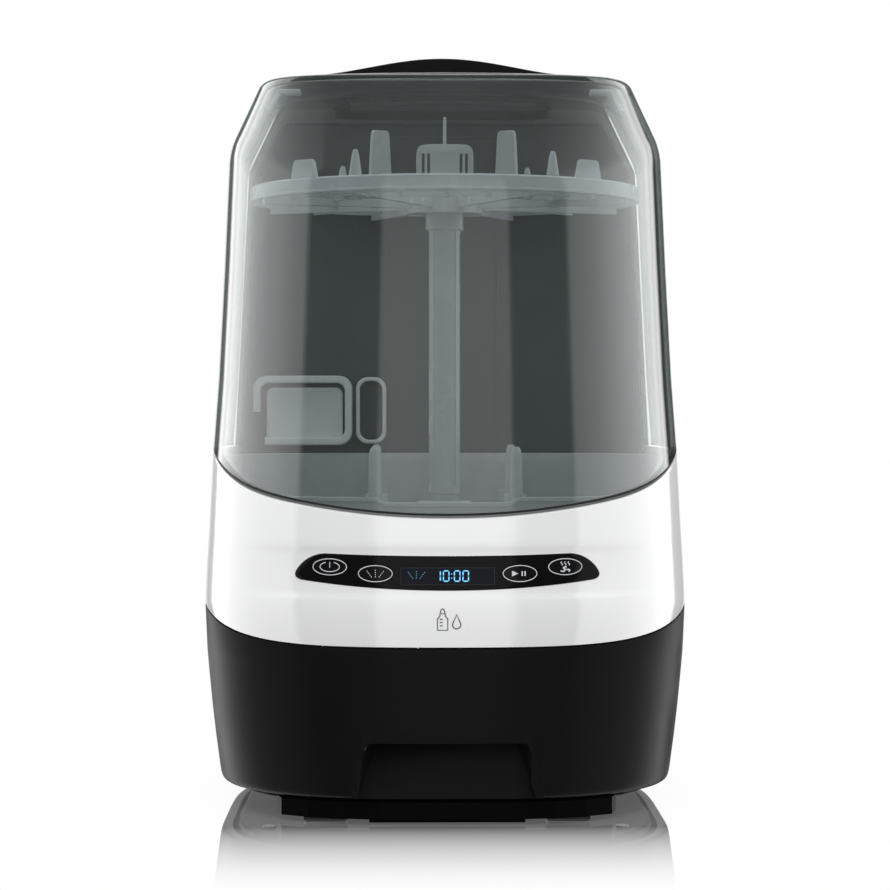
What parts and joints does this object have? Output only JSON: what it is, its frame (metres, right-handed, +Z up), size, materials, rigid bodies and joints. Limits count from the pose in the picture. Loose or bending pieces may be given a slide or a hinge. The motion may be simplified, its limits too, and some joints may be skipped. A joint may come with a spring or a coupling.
{
  "type": "bottle sterilizer",
  "caption": "Countertop washer and sterilizer for baby bottles: clear hinged hood, two racks over a spray arm, touch panel and rear water tanks.",
  "frame": {"origin": "floor level, under the middle of the body's width and depth", "axes": "+X to the user's right, +Y to the back of the appliance, +Z up"},
  "size_m": [0.2996, 0.3495, 0.482],
  "materials": {
    "black_plastic": "satin",
    "white_plastic": "gloss",
    "panel_gloss": "gloss",
    "key_gloss": "gloss",
    "display_glow": "gloss",
    "smoke_clear": "clear tinted",
    "tank_clear": "clear tinted",
    "tub_grey": "satin",
    "rack_grey": "satin, slightly translucent",
    "wall_grey": "satin",
    "seal_rubber": "matte",
    "inner_plastic": "matte",
    "steel": "brushed",
    "motor_metal": "cast",
    "board_green": "solder mask",
    "filter_white": "matte",
    "hose_silicone": "matte translucent"
  },
  "bodies": {
    "chassis": {"base_housing": "black_plastic", "bottom_cover": "black_plastic", "foot_front_left": "seal_rubber", "foot_front_right": "seal_rubber", "foot_rear_left": "seal_rubber", "foot_rear_right": "seal_rubber", "screw_front_left": "steel", "screw_front_right": "steel", "screw_rear_left": "steel", "screw_rear_right": "steel", "mid_band": "white_plastic", "panel_lens": "panel_gloss", "display_module": "display_glow", "control_board": "board_green", "wash_tub": "tub_grey", "sump_cup": "tub_grey", "steam_heater": "steel", "rear_inner_wall": "wall_grey", "hood_landing_frame": "wall_grey", "column_cover": "black_plastic", "top_cap": "black_plastic", "tank_shelf": "black_plastic", "hinge_bracket": "wall_grey", "hinge_pin": "steel", "wash_pump_housing": "inner_plastic", "wash_pump_motor": "motor_metal", "drain_pump_housing": "inner_plastic", "drain_pump_motor": "motor_metal", "blower_housing": "inner_plastic", "air_heater": "motor_metal", "air_duct": "inner_plastic", "air_outlet": "rack_grey", "main_board": "board_green", "power_inlet": "black_plastic", "lid_switch": "inner_plastic", "feed_hose": "hose_silicone", "drain_hose": "hose_silicone"},
    "hood": {"hood_shell": "smoke_clear", "hood_gasket": "seal_rubber", "hood_hinge_bar": "smoke_clear"},
    "upper_rack": {"upper_rack": "rack_grey", "rack_handle": "rack_grey", "centre_column": "rack_grey"},
    "lower_rack": {"lower_rack": "rack_grey"},
    "spray_arm": {"spray_arm": "rack_grey"},
    "sump_filter": {"sump_filter": "inner_plastic"},
    "clean_tank": {"clean_tank": "tank_clear"},
    "clean_tank_lid": {"clean_tank_lid": "black_plastic"},
    "dirty_tank": {"dirty_tank": "tank_clear"},
    "dirty_tank_lid": {"dirty_tank_lid": "black_plastic"},
    "air_filter": {"air_filter": "filter_white"},
    "blower_wheel": {"blower_wheel": "motor_metal"},
    "wash_impeller": {"wash_impeller": "inner_plastic"},
    "drain_impeller": {"drain_impeller": "inner_plastic"},
    "power_key": {"power_key": "key_gloss"},
    "wash_key": {"wash_key": "key_gloss"},
    "start_pause_key": {"start_pause_key": "key_gloss"},
    "dry_key": {"dry_key": "key_gloss"}
  },
  "joints": [
    {"name": "hood_hinge", "type": "hinge", "parent": "chassis", "child": "hood", "pos_m": [0, 0.092, 0.449], "axis": [-1, 0, 0], "range_deg": [0, 75]},
    {"name": "upper_rack_lift", "type": "slide", "parent": "chassis", "child": "upper_rack", "axis": [0, 0, 1], "range_m": [0, 0.006]},
    {"name": "lower_rack_lift", "type": "slide", "parent": "chassis", "child": "lower_rack", "axis": [0, 0, 1], "range_m": [0, 0.01]},
    {"name": "spray_arm_spin", "type": "hinge", "parent": "chassis", "child": "spray_arm", "pos_m": [0, -0.025, 0.145], "axis": [0, 0, 1], "continuous": true},
    {"name": "sump_filter_twist", "type": "hinge", "parent": "chassis", "child": "sump_filter", "pos_m": [0, -0.025, 0.118], "axis": [0, 0, 1], "range_deg": [0, 45]},
    {"name": "clean_tank_lift", "type": "slide", "parent": "chassis", "child": "clean_tank", "axis": [0, 0, 1], "range_m": [0, 0.12]},
    {"name": "clean_lid_hinge", "type": "hinge", "parent": "clean_tank", "child": "clean_tank_lid", "pos_m": [-0.06, 0.131, 0.4465], "axis": [1, 0, 0], "range_deg": [0, 75]},
    {"name": "dirty_tank_lift", "type": "slide", "parent": "chassis", "child": "dirty_tank", "axis": [0, 0, 1], "range_m": [0, 0.12]},
    {"name": "dirty_lid_hinge", "type": "hinge", "parent": "dirty_tank", "child": "dirty_tank_lid", "pos_m": [0.06, 0.131, 0.4465], "axis": [1, 0, 0], "range_deg": [0, 75]},
    {"name": "air_filter_slide", "type": "slide", "parent": "chassis", "child": "air_filter", "axis": [0, 1, 0], "range_m": [0, 0.055]},
    {"name": "blower_spin", "type": "hinge", "parent": "chassis", "child": "blower_wheel", "pos_m": [-0.064, 0.136, 0.13], "axis": [0, 0, 1], "continuous": true},
    {"name": "wash_pump_spin", "type": "hinge", "parent": "chassis", "child": "wash_impeller", "pos_m": [0.048, -0.06, 0.048], "axis": [0, 0, 1], "continuous": true},
    {"name": "drain_pump_spin", "type": "hinge", "parent": "chassis", "child": "drain_impeller", "pos_m": [-0.06, -0.04, 0.044], "axis": [0, 0, 1], "continuous": true},
    {"name": "power_key_press", "type": "slide", "parent": "chassis", "child": "power_key", "axis": [0, 1, 0], "range_m": [0, 0.0008]},
    {"name": "wash_key_press", "type": "slide", "parent": "chassis", "child": "wash_key", "axis": [0, 1, 0], "range_m": [0, 0.0008]},
    {"name": "start_pause_key_press", "type": "slide", "parent": "chassis", "child": "start_pause_key", "axis": [0, 1, 0], "range_m": [0, 0.0008]},
    {"name": "dry_key_press", "type": "slide", "parent": "chassis", "child": "dry_key", "axis": [0, 1, 0], "range_m": [0, 0.0008]}
  ]
}
